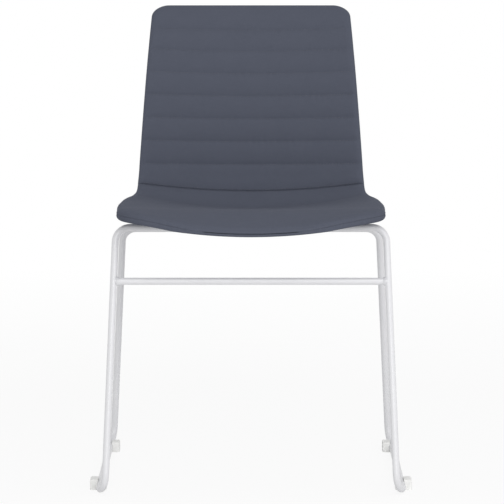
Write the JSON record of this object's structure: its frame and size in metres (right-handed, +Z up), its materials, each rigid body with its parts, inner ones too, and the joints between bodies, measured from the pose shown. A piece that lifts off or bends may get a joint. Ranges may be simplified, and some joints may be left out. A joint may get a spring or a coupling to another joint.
{
  "type": "sled base visitor chair",
  "caption": "Armless visitor chair with a bent steel rod sled base, a one-piece upholstered shell with a sewn, horizontally channelled back, and clip-on glides.",
  "frame": {"origin": "centre of the chair's overall width and depth, on the floor", "axes": "+Z up, the chair faces -Y, left and right as seen from the front with left at -X"},
  "size_m": [0.552, 0.5572, 0.81],
  "materials": {
    "powder_coated_steel": "fine satin powder coat, pale grey",
    "shell_plastic": "moulded, matt",
    "foam": "open cell foam",
    "zinc_plated_steel": "bright zinc plate",
    "spacer_plastic": "moulded, matt",
    "glide_plastic": "moulded nylon, fine grain",
    "cover_fabric": "tightly woven upholstery cloth"
  },
  "bodies": {
    "root": {"left_sled_rod": "powder_coated_steel", "right_sled_rod": "powder_coated_steel", "front_stretcher": "powder_coated_steel", "stretcher_welds": "powder_coated_steel", "cross_rod_welds": "powder_coated_steel", "lug_welds": "powder_coated_steel", "front_left_mounting_lug": "powder_coated_steel", "front_right_mounting_lug": "powder_coated_steel", "rear_left_mounting_lug": "powder_coated_steel", "rear_right_mounting_lug": "powder_coated_steel", "inner_shell": "shell_plastic", "seat_foam": "foam", "back_foam": "foam", "shell_insert_nuts": "zinc_plated_steel", "shell_screws": "zinc_plated_steel", "shell_screw_washers": "zinc_plated_steel", "glide_screws": "zinc_plated_steel", "front_left_spacer": "spacer_plastic", "front_right_spacer": "spacer_plastic", "rear_left_spacer": "spacer_plastic", "rear_right_spacer": "spacer_plastic", "front_left_glide": "glide_plastic", "front_right_glide": "glide_plastic", "rear_left_glide": "glide_plastic", "rear_right_glide": "glide_plastic", "seat_cover": "cover_fabric", "ribbed_back_cover": "cover_fabric", "back_rear_cover": "cover_fabric", "seat_underside_cover": "cover_fabric"}
  },
  "joints": []
}
